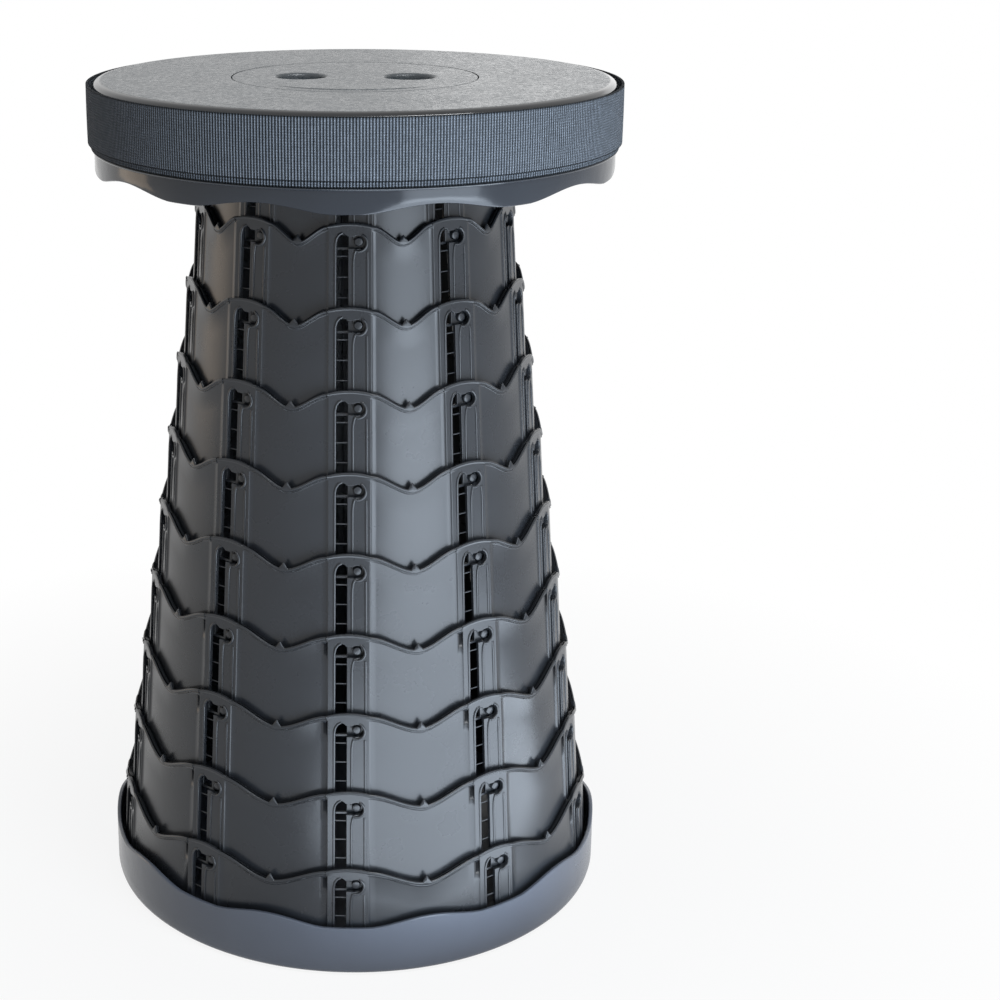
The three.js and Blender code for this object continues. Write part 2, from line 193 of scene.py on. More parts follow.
sky = (0.76, 0.87, 1)
pale_sky = (0.94, 0.97, 1)
warm = (1, 0.76, 0.52)
window_right = soft_window("window_right", (0.64, -0.85, 0.5), (0, 0, 0.5), 0.62, 1.0, 9.5, sky)
soft_window("low_reflector", (0.343, -0.455, 0.09), (0.223, -0.295, 1.09), 0.5, 0.8, 9, sky)
soft_window("window_left", (-1.25, 0.33, 0.25), (0, 0, 0.25), 0.5, 0.6, 1.3, warm)
soft_window("window_above", (0.38, -0.75, 1.5), (0, 0, 0.35), 1.2, 0.14, 15.5, pale_sky)
soft_window("window_back", (0.75, 2.0, 0.75), (0, 0, 0.45), 1.5, 0.7, 2, (1, 1, 1))


# ---- Base tray ----
# A shallow dish of black blue-grey plastic that the lowest ring stands in. It is moulded in
# one piece, and its rim dips at each of the ten bands and arches up between them.
mm = 0.001
band_angle = math.radians(36)
tray_radius = 138.6
tray_wall = 2.2
rim_low = 27
rim_high = 31.5


def arch_share(point, flat=math.radians(5)):
    """0 beside a band's middle, 1 half way to the next band."""
    angle = math.atan2(point.x, -point.y) % band_angle
    off_band = min(angle, band_angle - angle)
    share = min(max((off_band - flat) / (band_angle / 2 - flat), 0), 1)
    return math.sin(share * math.pi / 2) ** 1.5


def spun(bm, profile, steps):
    """Turns an outline of (radius, height) points once round the stool's axis. One that starts
    off the axis is closed first."""
    verts = [bm.verts.new((0, -radius, height)) for radius, height in profile]
    edges = [bm.edges.new(pair) for pair in zip(verts, verts[1:])]
    if profile[0][0] > 0:
        edges.append(bm.edges.new((verts[-1], verts[0])))
    bmesh.ops.spin(
        bm, geom=verts + edges, cent=(0, 0, 0), axis=(0, 0, 1), angle=math.tau, steps=steps,
        use_merge=True,
    )
    bmesh.ops.remove_doubles(bm, verts=bm.verts, dist=0.001)
    bmesh.ops.recalc_face_normals(bm, faces=bm.faces)


def piece(name, bm, material, body, nodes, sharp=35):
    """Scales a mesh drawn in millimetres, shades it and fixes it to its body."""
    bmesh.ops.scale(bm, vec=(mm, mm, mm), verts=bm.verts)
    for face in bm.faces:
        face.smooth = True
    for edge in bm.edges:
        edge.smooth = len(edge.link_faces) != 2 or edge.calc_face_angle() < math.radians(sharp)
    data = bpy.data.meshes.new(name)
    bm.to_mesh(data)
    bm.free()
    data.materials.append(material)
    made = bpy.data.objects.new(name, data)
    bpy.context.scene.collection.objects.link(made)
    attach(made, body)
    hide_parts(*nodes)
    return made


tray_gloss, tray_place, dress = finish_of("tray_gloss")
tray_stain = tray_place.noise(9, 4, 0.6)
tray_haze = tray_place.noise(60, 3, 0.6)
dress(
    Base_Color=tray_stain.mix((0.046, 0.053, 0.068, 1), (0.078, 0.088, 0.110, 1)),
    Roughness=0.17 + 0.12 * tray_stain + 0.05 * tray_haze,
    Normal=tray_place.node(
        "ShaderNodeBump", {"Strength": 0.25, "Distance": 0.0015, "Height": tray_place.noise(30, 2)}
    ),
    IOR=1.5,
)
tray_floor = 2.5
tray_inner = tray_radius - tray_wall
arch_foot = 12
round_steps = 200
tray_mesh = bmesh.new()
tray_profile = [
    (0, 0), (60, 0), (120, 0), (134.9, 0), (135.6, 0), (137.2, 0.4), (138.2, 1.4),
    (tray_radius, 3), (tray_radius, 9), (tray_radius, 15), (tray_radius, 21),
    (tray_radius, rim_low - 0.7), (138.2, rim_low - 0.15), (137.5, rim_low),
    (136.8, rim_low - 0.15), (tray_inner, rim_low - 0.7), (tray_inner, 21), (tray_inner, arch_foot),
    (tray_inner, 3.4), (135.6, tray_floor), (100, tray_floor), (50, tray_floor), (0, tray_floor),
]
spun(tray_mesh, tray_profile, round_steps)
for vert in tray_mesh.verts:
    if vert.co.z > arch_foot:
        lift = min((vert.co.z - arch_foot) / (rim_low - 1 - arch_foot), 1)
        vert.co.z += (rim_high - rim_low) * arch_share(vert.co) * lift
piece("tray", tray_mesh, tray_gloss, "base", ["base_tray"])

# ---- Foot pads ----
# Five round pads of black rubber, pressed into pockets in the tray's underside, with a shallow
# dished face that grips the ground.
foot_rubber, foot_place, dress = finish_of("foot_rubber")
foot_grit = foot_place.noise(900, 3, 0.7)
dress(
    Base_Color=foot_grit.mix((0.012, 0.012, 0.012, 1), (0.03, 0.03, 0.03, 1)),
    Roughness=0.75 + 0.2 * foot_grit,
    Normal=foot_place.node(
        "ShaderNodeBump", {"Strength": 0.4, "Distance": 0.0003, "Height": foot_grit}
    ),
)
foot_radius = 8
foot_circle = tray_radius - 3 - foot_radius - 4
foot_profile = [
    (0, -0.6), (5.2, -0.6), (5.7, -1), (7.4, -1), (foot_radius, -0.4), (foot_radius, 0.4), (0, 0.4),
]
fifth_turn = math.radians(72)
for number in range(5):
    foot_mesh = bmesh.new()
    spun(foot_mesh, foot_profile, 40)
    bmesh.ops.translate(foot_mesh, verts=foot_mesh.verts, vec=(0, -foot_circle, 0))
    turn = Matrix.Rotation(number * fifth_turn, 3, "Z")
    bmesh.ops.rotate(foot_mesh, verts=foot_mesh.verts, cent=(0, 0, 0), matrix=turn)
    foot_node = f"foot_pad_{number + 1}"
    piece(f"foot_{number + 1}", foot_mesh, foot_rubber, "base", [foot_node])

# ---- Tower rings ----
# Ten tapered rings of tough dark grey plastic, each a little smaller than the one below. A
# ring has a wavy lip, ten raised bands with a slot and a pocket, and a pin near each band's
# foot that locks in the next ring's pocket.
lowest_ring = 10
lowest_foot = 2.8
smallest_radius = 78
ring_travel = 41.2
ring_height = 55.2
top_ring_height = 60.7
ring_step = 5.94
ring_spread = ring_step - 2.3
ring_wall = 2.0
band_half = 11.5
band_raise = 0.8
wave_depth = 10
crown = 1.4
fin_height = 3.8
fin_half = 2.3
fin_fade = 1.1
pin_across = 4.2
pin_rise = 4.2
pin_radius = 2.5
pin_taper = 0.25
pin_rounding = 0.6
pin_root = 1.2
pin_short = 0.5
pocket_height = pin_rise + ring_travel
pocket_radius = 3.6
pocket_sweep = 252
pocket_steps = 14
slot_left = -6.8
slot_right = -1.0
slot_foot = 1.3
neck_drop = 2.9
eye_radius = 2.9
eye_lift = 1.6
eye_start = 29
eye_steps = 8
lip_reach = 3.3
lip_section = [
    (2.9, 0.1), (2.6, 0.5), (2.35, 0.65), (2.1, 0.6), (1.8, 0.35), (1.5, 0.8), (1.15, 1.08),
    (0.75, 1.1), (0.35, 0.85), (0, 0.2),
]
bead_half = 0.75
bead_raise = 0.85
bead_sink = 0.15
bead_depth = 0.3
bead_circle = 4.3
rung_heights = (7.2, 17.6, 28, 38.4)
rung_thickness = 0.7
rung_set_back = 0.5
rung_overlap = 0.3

ring_plastic, ring_place, dress = finish_of("ring_plastic")
ring_cloud = ring_place.noise(14, 3, 0.55)
ring_mottle = ring_place.noise(75, 3, 0.6)
ring_pits = ring_place.noise(420, 2, 0.6)
dress(
    Base_Color=ring_cloud.mix((0.010, 0.011, 0.013, 1), (0.019, 0.021, 0.024, 1)),
    Roughness=0.2 + 0.1 * ring_cloud + 0.06 * ring_mottle,
    Normal=ring_place.node(
        "ShaderNodeBump",
        {"Strength": 0.12, "Distance": 0.0004, "Height": ring_mottle + 0.4 * ring_pits},
    ),
    IOR=1.46,
    Specular_IOR_Level=0.42,
)


def ring_facts(ring):
    """Height of a ring's foot, its radius at the top, and half a band's share of the turn."""
    foot = lowest_foot + (lowest_ring - ring) * ring_travel
    top_radius = smallest_radius + (ring - 1) * ring_step
    return foot, top_radius, math.asin(band_half / (top_radius + ring_spread / 2))


def on_ring(ring, across, height, raised):
    """A point of the ring's outer face. Up to band_half, across is millimetres over the flat
    band. Past it, each 100 is the way from this band to the next."""
    foot, top_radius, half_angle = ring_facts(ring)
    radius = top_radius + ring_spread * (1 - height / ring_height)
    if across <= band_half + 0.001:
        flat = radius * math.cos(half_angle)
        sideways = across * radius / (top_radius + ring_spread / 2)
        return Vector((sideways, -flat - raised, foot + height))
    angle = half_angle + (across - band_half) / 100 * (band_angle - 2 * half_angle)
    out = radius + raised
    return Vector((math.sin(angle) * out, -math.cos(angle) * out, foot + height))


def edge_height(ring, across):
    """Height of the wavy lip over the ring's foot. The top ring is plain and reaches the lid."""
    if ring == 1:
        return top_ring_height
    if across <= band_half + 0.001:
        return ring_height - crown * (across / band_half) ** 2
    way = 1 - abs(2 * (across - band_half) / 100 - 1)
    eased = way * way * (3 - 2 * way)
    return ring_height - crown - (wave_depth - crown) * (0.2 * way + 0.8 * eased)


def fin_rise(ring, across):
    """How far the small pointed fin in the middle of each valley stands over the lip."""
    if ring == 1 or across <= band_half:
        return 0
    _, top_radius, half_angle = ring_facts(ring)
    off_middle = ((across - band_half) / 100 - 0.5) * (band_angle - 2 * half_angle) * top_radius
    return fin_height * max(1 - abs(off_middle) / fin_half, 0)


def lock_outline():
    """The slot with its round top, joined to the round pocket that the next pin rests in."""
    points = [(slot_left, slot_foot), (slot_right, slot_foot)]
    points.append((slot_right, pocket_height - neck_drop))
    for step in range(pocket_steps + 1):
        angle = math.radians(-pocket_sweep / 2 + step * pocket_sweep / pocket_steps)
        across = pin_across + pocket_radius * math.cos(angle)
        points.append((across, pocket_height + pocket_radius * math.sin(angle)))
    middle = (slot_left + slot_right) / 2
    for step in range(eye_steps + 1):
        angle = math.radians(eye_start + step * (180 - eye_start) / eye_steps)
        across = middle + eye_radius * math.cos(angle)
        points.append((across, pocket_height + eye_lift + eye_radius * math.sin(angle)))
    return points


def ring_period(bm, ring):
    """One tenth of a ring's outer skin: a band with its lock, and the panel beside it."""
    _, top_radius, half_angle = ring_facts(ring)
    to_fin = 50 - 100 * fin_half / ((band_angle - 2 * half_angle) * top_radius)
    panel = [to_fin * step / 8 for step in range(1, 9)] + [50]
    panel += [100 - share for share in reversed(panel[:-1])] + [100]
    across = [-band_half, -10.8, -7.2, -3.6, 0, 3.6, 7.2, 10.8, band_half]
    across += [band_half + share for share in panel]
    rises = [0, 0.25, 0.5, 0.75, 1]
    lip = lip_section if ring > 1 else [(1, 0), (0, 0)]
    columns, rows = len(across) - 1, len(rises) + len(lip) - 1
    made = bmesh.ops.create_grid(bm, x_segments=columns, y_segments=rows, size=1)
    column_of = {}
    row_of = {}
    for vert in made["verts"]:
        column_of[vert] = round((vert.co.x + 1) / 2 * columns)
        row_of[vert] = round((vert.co.y + 1) / 2 * rows)
    raises = {}
    for vert in made["verts"]:
        over, row = across[column_of[vert]], row_of[vert]
        top = edge_height(ring, over)
        on_band = 1 <= column_of[vert] <= 7
        if row < len(rises):
            height, raised = rises[row] * (top - lip_reach), 0
        else:
            below, raised = lip[row - len(rises)]
            height = top - below + fin_rise(ring, over) * max(1 - below / fin_fade, 0)
        raises[vert] = max(raised, band_raise if on_band else 0)
        vert.co = (over, height, 0)
    face_columns = [min(column_of[v] for v in face.verts) for face in bm.faces]
    face_rows = [min(row_of[v] for v in face.verts) for face in bm.faces]
    cut = [
        face
        for face, column, row in zip(bm.faces, face_columns, face_rows)
        if 1 <= column < 7 and row < len(rises) - 1
    ]
    border = {
        edge for face in cut for edge in face.edges if sum(f in cut for f in edge.link_faces) == 1
    }
    bmesh.ops.delete(bm, geom=cut, context="FACES_KEEP_BOUNDARY")
    outline = [bm.verts.new((x, y, 0)) for x, y in lock_outline()]
    for vert in outline:
        raises[vert] = band_raise
    hole = [bm.edges.new(pair) for pair in zip(outline, outline[1:] + outline[:1])]
    rim = [edge for edge in border if edge.is_valid] + hole
    bmesh.ops.triangle_fill(bm, use_beauty=True, edges=rim, normal=(0, 0, 1))
    for vert in bm.verts:
        vert.co = on_ring(ring, vert.co.x, vert.co.y, raises[vert])


def bead_paths():
    """Low moulded beads on a band: beside the slot, round the pocket and down its right side."""
    left = [(-7.45, 5), (-7.45, 40), (-7.4, 45), (-6.8, 47.6), (-5.5, 49.4), (-3.6, 50.2)]
    rim = []
    for turn in range(70, -111, -15):
        angle = math.radians(turn)
        across = pin_across + bead_circle * math.cos(angle)
        rim.append((across, pocket_height + bead_circle * math.sin(angle)))
    rim += [(2.1, 39.6), (1.7, 36.8), (1.6, 33), (1.6, 5)]
    right = [(8.6, 5), (8.6, 36), (8.5, 41)]
    return left, rim, right


def add_beads(bm, ring):
    for path in bead_paths():
        made = bmesh.ops.create_grid(bm, x_segments=len(path) - 1, y_segments=6, size=1)["verts"]
        for vert in made:
            step = round((vert.co.x + 1) / 2 * (len(path) - 1))
            out = bead_half * math.sin(vert.co.y * math.pi / 2)
            raised = bead_raise * math.cos(vert.co.y * math.pi / 2) - bead_sink
            if step in (0, len(path) - 1):
                raised = min(raised, 0.1)
            before, after = path[max(step - 1, 0)], path[min(step + 1, len(path) - 1)]
            length = math.hypot(after[0] - before[0], after[1] - before[1])
            across = path[step][0] + (after[1] - before[1]) / length * out
            height = path[step][1] + (before[0] - after[0]) / length * out
            vert.co = on_ring(ring, across, height, band_raise + raised)


def add_rungs(bm, ring):
    """Thin rungs that tie the two sides of a slot together, set back inside the wall."""
    for rise in rung_heights:
        made = bmesh.ops.create_cube(bm, size=1)["verts"]
        for vert in made:
            across = slot_left - rung_overlap if vert.co.x < 0 else slot_right + rung_overlap
            raised = -rung_set_back if vert.co.y < 0 else band_raise - ring_wall + 0.1
            vert.co = on_ring(ring, across, rise + vert.co.z * rung_thickness, raised)


def add_pins(bm, ring):
    """Ten round pins that reach from this ring's bands into the next ring's pockets."""
    foot, top_radius, half_angle = ring_facts(ring)
    _, next_top_radius, next_half_angle = ring_facts(ring + 1)
    face_at = (top_radius + ring_spread * (1 - pin_rise / ring_height)) * math.cos(half_angle)
    next_rise = pocket_height / ring_height
    next_face = (next_top_radius + ring_spread * (1 - next_rise)) * math.cos(next_half_angle)
    for band in range(10):
        pin = bmesh.ops.create_cone(
            bm, cap_ends=True, segments=20, radius1=pin_radius, radius2=pin_radius - pin_taper,
            depth=next_face - pin_short - face_at + pin_root,
        )["verts"]
        tip = max(vert.co.z for vert in pin)
        pin_edges = {edge for vert in pin for edge in vert.link_edges}
        rim = [edge for edge in pin_edges if all(vert.co.z > tip - 0.01 for vert in edge.verts)]
        bevelled = bmesh.ops.bevel(
            bm, geom=rim, offset=pin_rounding, segments=2, affect="EDGES", profile=0.5, material=-1
        )
        pin = list({vert for vert in pin if vert.is_valid} | set(bevelled["verts"]))
        lay_down = Matrix.Rotation(math.radians(90), 3, "X")
        bmesh.ops.rotate(bm, verts=pin, cent=(0, 0, 0), matrix=lay_down)
        middle = -(face_at - pin_root + next_face - pin_short) / 2
        bmesh.ops.translate(bm, verts=pin, vec=(pin_across, middle, foot + pin_rise))
        turn = Matrix.Rotation(band * band_angle, 3, "Z")
        bmesh.ops.rotate(bm, verts=pin, cent=(0, 0, 0), matrix=turn)


def ten_times(bm):
    """Repeats a tenth of a ring nine times round the axis."""
    bmesh.ops.spin(
        bm, geom=bm.faces[:], cent=(0, 0, 0), axis=(0, 0, 1), angle=math.tau * 0.9, steps=9,
        use_duplicate=True,
    )


def put_in(bm, extra):
    """Adds a second mesh to the first and frees it."""
    data = bpy.data.meshes.new("extra")
    extra.to_mesh(data)
    extra.free()
    bm.from_mesh(data)
    bpy.data.meshes.remove(data)


def make_ring(ring, body):
    bm = bmesh.new()
    ring_period(bm, ring)
    bmesh.ops.recalc_face_normals(bm, faces=bm.faces)
    level = Vector((1, 1, 0))
    if sum((face.calc_center_median() * level).dot(face.normal) for face in bm.faces) < 0:
        bmesh.ops.reverse_faces(bm, faces=bm.faces)
    ten_times(bm)
    bmesh.ops.remove_doubles(bm, verts=bm.verts, dist=0.01)
    bmesh.ops.solidify(bm, geom=bm.faces[:], thickness=ring_wall)
    beads = bmesh.new()
    add_beads(beads, ring)
    beads.normal_update()
    inward = [face for face in beads.faces if face.normal.y > 0.2]
    bmesh.ops.reverse_faces(beads, faces=inward)
    bmesh.ops.solidify(beads, geom=beads.faces[:], thickness=bead_depth)
    add_rungs(beads, ring)
    ten_times(beads)
    put_in(bm, beads)
    if ring < lowest_ring:
        add_pins(bm, ring)
    name = f"tower_ring_{ring}"
    made = piece(name, bm, ring_plastic, body, [f"ring_{ring}"], sharp=45)
    rounding = made.modifiers.new("moulded edges", "BEVEL")
    rounding.width = 0.0003
    rounding.segments = 2
    rounding.limit_method = "ANGLE"
    rounding.angle_limit = math.radians(45)
    rounding.use_clamp_overlap = False
    rounding.harden_normals = True


for ring_number in range(lowest_ring, 0, -1):
    ring_body = {lowest_ring: "base", 1: "seat"}.get(ring_number, f"stage_{ring_number}")
    make_ring(ring_number, ring_body)

# ---- Seat skirt ----
# A deep collar under the seat, moulded in the same black plastic as the tray and polished. Its
# lower edge is scalloped to meet the tray's rim, and a small ledge holds up the belt.
skirt_gloss, skirt_place, dress = finish_of("skirt_gloss")
skirt_stain = skirt_place.noise(8, 3, 0.55)
skirt_flow = skirt_place.noise(42, 2, 0.5)
dress(
    Base_Color=skirt_stain.mix((0.010, 0.012, 0.016, 1), (0.020, 0.024, 0.030, 1)),
    Roughness=0.08 + 0.1 * skirt_stain,
    Normal=skirt_place.node(
        "ShaderNodeBump", {"Strength": 0.3, "Distance": 0.0015, "Height": skirt_flow}
    ),
    IOR=1.45,
    Specular_IOR_Level=0.42,
)
seat_radius = 137
web_top = 432
web_under = web_top - 2.4
web_inner = 78.8
skirt_inner = 134.8
skirt_low = web_top - 30.5
scallop_top = 412
scallop_rise = 4.5
skirt_mesh = bmesh.new()
skirt_profile = [
    (seat_radius, skirt_low + 0.9), (seat_radius, skirt_low + 7), (seat_radius, 412.8),
    (137.3, 412.9), (137.9, 413.3), (138.1, 413.7), (137.9, 414.1), (seat_radius, 414.3),
    (seat_radius, 416), (seat_radius, web_top), (110, web_top), (web_inner, web_top),
    (web_inner, web_under), (110, web_under), (133.4, web_under), (skirt_inner, web_top - 3.8),
    (skirt_inner, 416), (skirt_inner, skirt_low + 7), (skirt_inner, skirt_low + 0.6),
    (135.2, skirt_low), (136.2, skirt_low), (136.8, skirt_low + 0.3),
]
spun(skirt_mesh, skirt_profile, round_steps)
for vert in skirt_mesh.verts:
    if vert.co.z < scallop_top:
        lift = min((scallop_top - vert.co.z) / (scallop_top - skirt_low - 1), 1)
        vert.co.z += scallop_rise * arch_share(vert.co, math.radians(3)) * lift
piece("skirt", skirt_mesh, skirt_gloss, "seat", ["seat_skirt"], sharp=45)

# ---- Seat lid ----
# The flat round top, satin with a fine moulded grain and a smoother rounded edge. Its rim
# stands on the skirt's web, and the middle is open for the cap.
lid_satin, lid_place, dress = finish_of("seat_satin")
lid_grain = lid_place.noise(520, 3, 0.65)
lid_cloud = lid_place.noise(11, 3, 0.5)
lid_smear = lid_place.noise(38, 4, 0.65)
level_place = lid_place.node(
    "ShaderNodeVectorMath", {0: lid_place, 1: (1, 1, 0)}, operation="MULTIPLY"
)
from_axis = level_place.node("ShaderNodeVectorMath", {0: level_place}, out=1, operation="LENGTH")
flat_reach = 0.1335
flat_top = ((flat_reach - from_axis) * 900).clip()
lid_rough = ((lid_grain - 0.5) * 4 + 0.5).clip()
lid_shade = lid_cloud.mix((0.036, 0.044, 0.050, 1), (0.058, 0.068, 0.075, 1))
dress(
    Base_Color=flat_top.mix((0.006, 0.007, 0.009, 1), lid_shade),
    Roughness=0.14 + flat_top * (0.03 + 0.1 * lid_smear + 0.17 * lid_rough),
    Normal=lid_place.node(
        "ShaderNodeBump",
        {"Strength": 0.75, "Distance": 0.0005, "Height": lid_grain * flat_top * (0.35 + lid_smear)},
    ),
    IOR=1.54,
)
seat_top = 449
cap_opening = 65
lid_foot = web_top + 0.3
lid_mesh = bmesh.new()
lid_profile = [
    (cap_opening, seat_top - 0.1), (cap_opening, 446.5), (59, 446), (59, 442.5), (66, 445.6),
    (100, 445.6), (134.6, 445), (skirt_inner, lid_foot), (seat_radius, lid_foot),
    (seat_radius, 445), (136.85, 446.1), (136.4, 447.1), (135.6, 448), (134.5, 448.6),
    (133.2, 448.92), (131.8, seat_top), (130.8, seat_top), (110, seat_top), (80, seat_top),
    (cap_opening + 0.1, seat_top),
]
spun(lid_mesh, lid_profile, round_steps)
seat_plate = piece("seat_plate", lid_mesh, lid_satin, "seat", ["seat_lid"])

# ---- Seat screws ----
# Five pan-head steel screws that pull the skirt's web and the top ring's flange up to the lid.
# They are driven from below and stand in a circle inside the tower.
screw_steel, screw_place, dress = finish_of("screw_steel")
screw_haze = screw_place.noise(500, 3)
dress(
    Base_Color=screw_haze.mix((0.38, 0.39, 0.41, 1), (0.5, 0.51, 0.53, 1)),
    Roughness=0.25 + 0.2 * screw_haze,
    Metallic=1,
)
screw_circle = 84
first_screw = math.radians(18)
screw_profile = [
    (0, 428.2), (1.3, 428.2), (1.4, 427.6), (2.6, 427.7), (3.2, 428.2), (3.4, 429.2), (1.7, 429.3),
    (1.7, 441), (0, 442),
]
for number in range(5):
    screw_mesh = bmesh.new()
    spun(screw_mesh, screw_profile, 24)
    bmesh.ops.translate(screw_mesh, verts=screw_mesh.verts, vec=(0, -screw_circle, 0))
    turn = Matrix.Rotation(first_screw + number * fifth_turn, 3, "Z")
    bmesh.ops.rotate(screw_mesh, verts=screw_mesh.verts, cent=(0, 0, 0), matrix=turn)
    screw_node = f"seat_screw_{number + 1}"
    piece(f"screw_{number + 1}", screw_mesh, screw_steel, "seat", [screw_node])

# ---- Centre cap ----
# A round cap that snaps flush into the lid. Two finger holes with soft rims run down through
# it, and a shallow crescent ridge is moulded in its face.
cap_radius = 64.5
finger_radius = 13.2
finger_centre = 28.5
cap_edge = 1.4
finger_edge = 2.4
cap_mesh = bmesh.new()
rim_edges = []
for centre, radius, sides in (
    (0, cap_radius - cap_edge, 160),
    (-finger_centre, finger_radius + finger_edge, 64),
    (finger_centre, finger_radius + finger_edge, 64),
):
    circle = bmesh.ops.create_circle(cap_mesh, segments=sides, radius=radius)["verts"]
    bmesh.ops.translate(cap_mesh, verts=circle, vec=(centre, 0, seat_top))
    rim_edges.append([e for e in cap_mesh.edges if all(v in circle for v in e.verts)])
bmesh.ops.triangle_fill(cap_mesh, use_beauty=True, edges=sum(rim_edges, []), normal=(0, 0, 1))


def rolled(bm, edges, centre, path):
    """Carries a rim on from ring to ring: each step has its own radius and height."""
    for radius, height in path:
        grown = bmesh.ops.extrude_edge_only(bm, edges=edges)["geom"]
        verts = [g for g in grown if isinstance(g, bmesh.types.BMVert)]
        grown_edges = [g for g in grown if isinstance(g, bmesh.types.BMEdge)]
        edges = [edge for edge in grown_edges if all(v in verts for v in edge.verts)]
        for vert in verts:
            out = Vector((vert.co.x - centre, vert.co.y, 0)).normalized() * radius
            vert.co = Vector((centre + out.x, out.y, height))


cap_under = 445.8
sleeve_foot = 436
rolled(cap_mesh, rim_edges[0], 0, [
    (cap_radius - 0.6, seat_top), (cap_radius - 0.2, 448.8), (cap_radius, 448.3),
    (cap_radius, cap_under), (58, cap_under), (44, cap_under),
])
for side, edges in ((-1, rim_edges[1]), (1, rim_edges[2])):
    rolled(cap_mesh, edges, side * finger_centre, [
        (14.8, seat_top), (13.9, 448.7), (13.4, 448.1), (finger_radius, 447.2),
        (finger_radius, 442), (finger_radius, sleeve_foot), (15.3, sleeve_foot),
        (15.4, cap_under), (15.8, cap_under),
    ])
bmesh.ops.recalc_face_normals(cap_mesh, faces=cap_mesh.faces)
ridge_sweep = math.radians(47.5)
ridge_radius = 55.3
ridge_half = 0.9
ridge_rise = 0.45
ridge_mesh = bmesh.new()
ridge = bmesh.ops.create_grid(ridge_mesh, x_segments=40, y_segments=6, size=1)["verts"]
for vert in ridge:
    turn = ridge_sweep * vert.co.x
    taper = math.cos(vert.co.x * math.pi / 2) ** 0.5 if abs(vert.co.x) < 0.999 else 0.02
    radius = ridge_radius + ridge_half * taper * math.sin(vert.co.y * math.pi / 2)
    rise = ridge_rise * taper * math.cos(vert.co.y * math.pi / 2) - 0.1
    vert.co = (radius * math.sin(turn), -radius * math.cos(turn), seat_top + rise)
ridge_mesh.normal_update()
upside_down = [face for face in ridge_mesh.faces if face.normal.z < 0]
bmesh.ops.reverse_faces(ridge_mesh, faces=upside_down)
bmesh.ops.solidify(ridge_mesh, geom=ridge_mesh.faces[:], thickness=0.3)
put_in(cap_mesh, ridge_mesh)
cap = piece("cap", cap_mesh, lid_satin, "seat", ["centre_cap"])

# Seen from behind, the flat top would mirror the right window and go white all over, so that
# window leaves the lid and the cap out.
flat_pieces = bpy.data.collections.new("flat_pieces")
for flat_piece in (seat_plate, cap):
    flat_pieces.objects.link(flat_piece)
window_right.light_linking.receiver_collection = flat_pieces
for member in flat_pieces.collection_objects:
    member.light_linking.link_state = "EXCLUDE"

# ---- Webbing belt ----
# Two turns of 30 mm black nylon webbing round the lid's rim, with fine ribs across it. The
# outer turn lies a little higher, so the inner one's lower edge shows.
webbing, webbing_place, dress = finish_of("black_webbing")
run_place = webbing_place.node("ShaderNodeUVMap", uv_map="run")
along = run_place.node("ShaderNodeSeparateXYZ", {0: run_place})
across_web = run_place.node("ShaderNodeSeparateXYZ", {0: run_place}, out="Y")
rib_pitch = 1.5
thread_pitch = 1.3
# Across-width distance in mm where the painted shade along the tape's edges begins.
edge_shade_start = 14.2
rib = along.math("SINE", along * (math.tau / rib_pitch)) * 0.5 + 0.5
thread = along.math("SINE", across_web * (math.tau / thread_pitch)) * 0.5 + 0.5
# Painted shade, not a woven selvedge: the colour darkens over the last millimetre of both long
# edges of the tape. It stands for the shade line where the outer turn's edge lies over the inner
# turn.
painted_edge_shade = ((along.math("ABSOLUTE", across_web) - edge_shade_start) * 3).clip()
fuzz = webbing_place.noise(1800, 3, 0.7)
wear = webbing_place.noise(260, 3, 0.7)
lit_yarn = rib * (0.45 + 0.8 * wear) * (0.75 + 0.35 * thread) + fuzz * 0.15
yarn_shade = (lit_yarn * (1 - 0.85 * painted_edge_shade)).clip()
dress(
    Base_Color=yarn_shade.mix((0.004, 0.005, 0.006, 1), (0.160, 0.178, 0.202, 1)),
    Roughness=0.6 + 0.25 * fuzz,
    Normal=webbing_place.node(
        "ShaderNodeBump",
        {"Strength": 0.9, "Distance": 0.0006, "Height": rib + thread * 0.3 + fuzz * 0.2},
    ),
    Specular_IOR_Level=0.06,
    Sheen_Weight=0.01,
    Sheen_Roughness=0.4,
)
tape_thickness = 1.3
tape_swell = 0.12
belt_half = 15
belt_below_top = 1.5
belt_middle = seat_top - belt_below_top - belt_half
belt_drop = 3
inner_radius = 137.3
outer_radius = 138.9
outer_end = 128


def webbing_run(name, body, node, frames, half_widths, thickness=tape_thickness, material=webbing):
    """A flat woven tape that follows frames of (middle, width direction, outward direction)."""
    bm = bmesh.new()
    uv = bm.loops.layers.uv.new("run")
    shares = [-1, -0.97, -0.9, -0.5, 0, 0.5, 0.9, 0.97, 1]
    rows = len(frames) - 1
    columns = len(shares) - 1
    made = bmesh.ops.create_grid(bm, x_segments=rows, y_segments=columns, size=1)["verts"]
    lengths = [0.0]
    for (a, _, _), (b, _, _) in zip(frames, frames[1:]):
        lengths.append(lengths[-1] + (b - a).length)
    tags = {}
    for vert in made:
        tags[vert] = (round((vert.co.x + 1) / 2 * rows), round((vert.co.y + 1) / 2 * columns))
    for face in bm.faces:
        for loop in face.loops:
            station, column = tags[loop.vert]
            loop[uv].uv = (lengths[station], shares[column] * half_widths[station])
    for vert in made:
        station, column = tags[vert]
        middle, wide, out = frames[station]
        swell = tape_swell * math.cos(shares[column] * math.pi / 2)
        sideways = wide * (shares[column] * half_widths[station])
        vert.co = middle + sideways + out * (thickness / 2 + swell)
    for face in bm.faces:
        face.normal_update()
    half_way = len(frames) // 2
    outward = frames[half_way][2]
    middle_faces = [f for f in bm.faces if any(tags[v][0] == half_way for v in f.verts)]
    if sum(face.normal.dot(outward) for face in middle_faces) < 0:
        bmesh.ops.reverse_faces(bm, faces=bm.faces)
    bmesh.ops.solidify(bm, geom=bm.faces[:], thickness=thickness)
    piece(name, bm, material, body, [node], sharp=50)


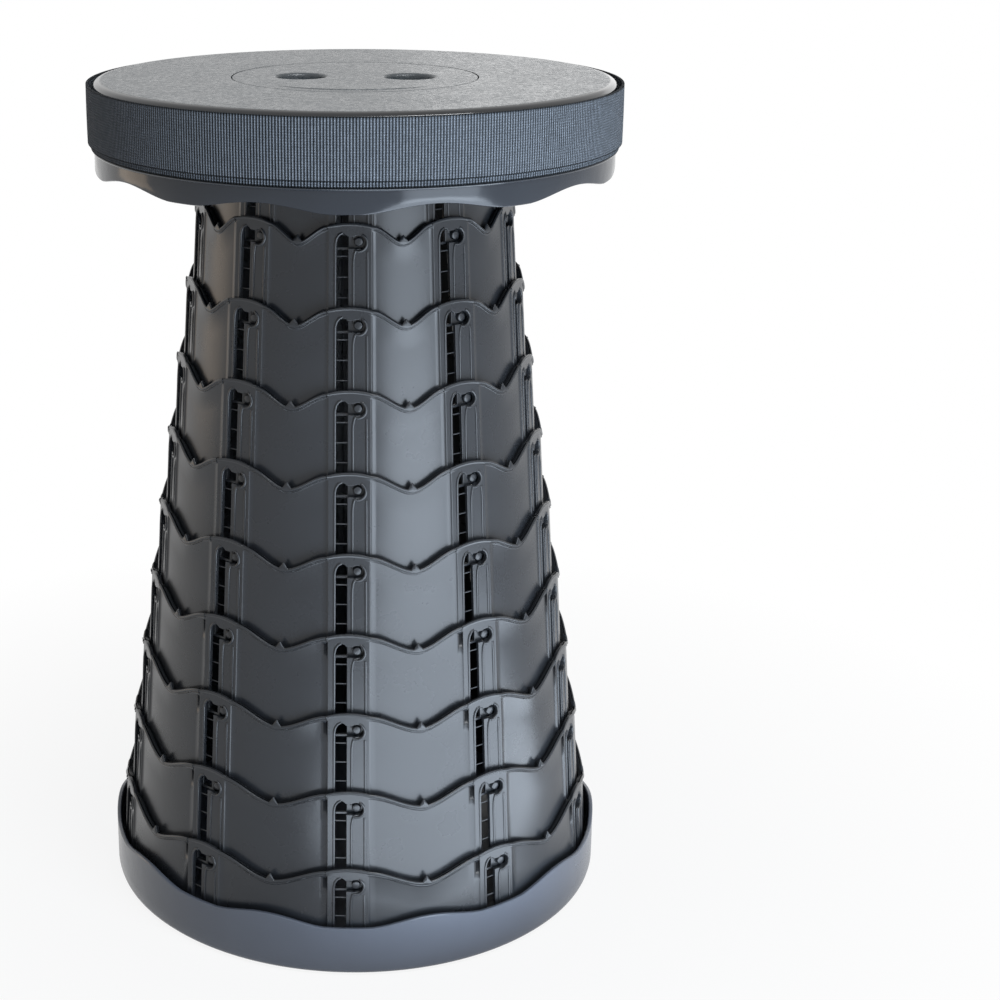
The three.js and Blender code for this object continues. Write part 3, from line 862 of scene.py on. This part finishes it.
def on_belt(angle, radius, height):
    """One frame of a tape that runs round the seat."""
    out = Vector((math.sin(angle), -math.cos(angle), 0))
    return out * radius + Vector((0, 0, height)), Vector((0, 0, 1)), out


def belt_turn(name, node, end, radius, height, steps):
    """A turn of the belt that runs from -end to end, in degrees from the front."""
    frames = []
    for step in range(steps + 1):
        angle = math.radians(-end + 2 * end * step / steps)
        frames.append(on_belt(angle, radius + tape_thickness / 2, height))
    webbing_run(name, "seat", node, frames, [belt_half] * len(frames))


belt_turn("belt_inner", "belt_inner_turn", 180, inner_radius, belt_middle - belt_drop, 240)
belt_turn("belt_outer", "belt_outer_turn", outer_end, outer_radius, belt_middle, 180)

# ---- Belt end ----
# The belt's free end carries a hook-and-loop tab with a matt, furry face. It is pressed to
# the belt at the back and its tip lifts a little.
furry, furry_place, dress = finish_of("loop_pile")
pile = furry_place.noise(1400, 4, 0.75)
curls = furry_place.node("ShaderNodeTexVoronoi", {"Vector": furry_place, "Scale": 900})
dress(
    Base_Color=pile.mix((0.006, 0.006, 0.008, 1), (0.045, 0.048, 0.055, 1)),
    Roughness=0.9,
    Normal=furry_place.node(
        "ShaderNodeBump", {"Strength": 1, "Distance": 0.0015, "Height": pile + 0.6 * curls}
    ),
    Sheen_Weight=0.5,
    Sheen_Roughness=0.5,
)
tab_length = 42
tab_half = 13
tab_thickness = 2
tab_gap = 0.3
tab_lift = 2.4
tab_steps = 24
tab_frames = []
for step in range(tab_steps + 1):
    share = step / tab_steps
    angle = math.radians(outer_end) + tab_gap / outer_radius + share * tab_length / outer_radius
    lifted = outer_radius + tab_thickness / 2 + tab_lift * share * share
    tab_frames.append(on_belt(angle, lifted, belt_middle))
tab_halves = [tab_half] * len(tab_frames)
webbing_run("belt_end", "seat", "belt_end_tab", tab_frames, tab_halves, tab_thickness, furry)

# ---- Carrying strap ----
# A bow of the same webbing, sewn to the belt at both ends, where it is gathered narrow. It
# hangs at the back of the seat and swings up to carry the stool by.
strap_span = 47
strap_reach = 54
strap_tilt = math.radians(60)
strap_half = 12.5
strap_end_half = 1.9
strap_widening = 0.36
sewn_radius = inner_radius + tape_thickness
strap_stand_off = 2.5
strap_steps = 80
pivot_back = math.sqrt(sewn_radius**2 - strap_span**2) + strap_stand_off
pivot = Vector((0, pivot_back, belt_middle - belt_drop))
down = Vector((0, math.cos(strap_tilt), -math.sin(strap_tilt)))
side = Vector((0, math.sin(strap_tilt), math.cos(strap_tilt)))
strap_frames = []
strap_halves = []
for step in range(strap_steps + 1):
    turn = math.pi * step / strap_steps
    reach = strap_reach * math.sin(turn)
    middle = pivot + Vector((-strap_span * math.cos(turn), 0, 0)) + down * reach
    outward = Vector((-strap_reach * math.cos(turn), 0, 0)) + down * strap_span * math.sin(turn)
    outward.normalize()
    strap_frames.append((middle - outward * (tape_thickness / 2), side, outward))
    strap_halves.append(min(strap_half, strap_end_half + strap_widening * reach))
webbing_run("strap", "strap", "carrying_strap", strap_frames, strap_halves)
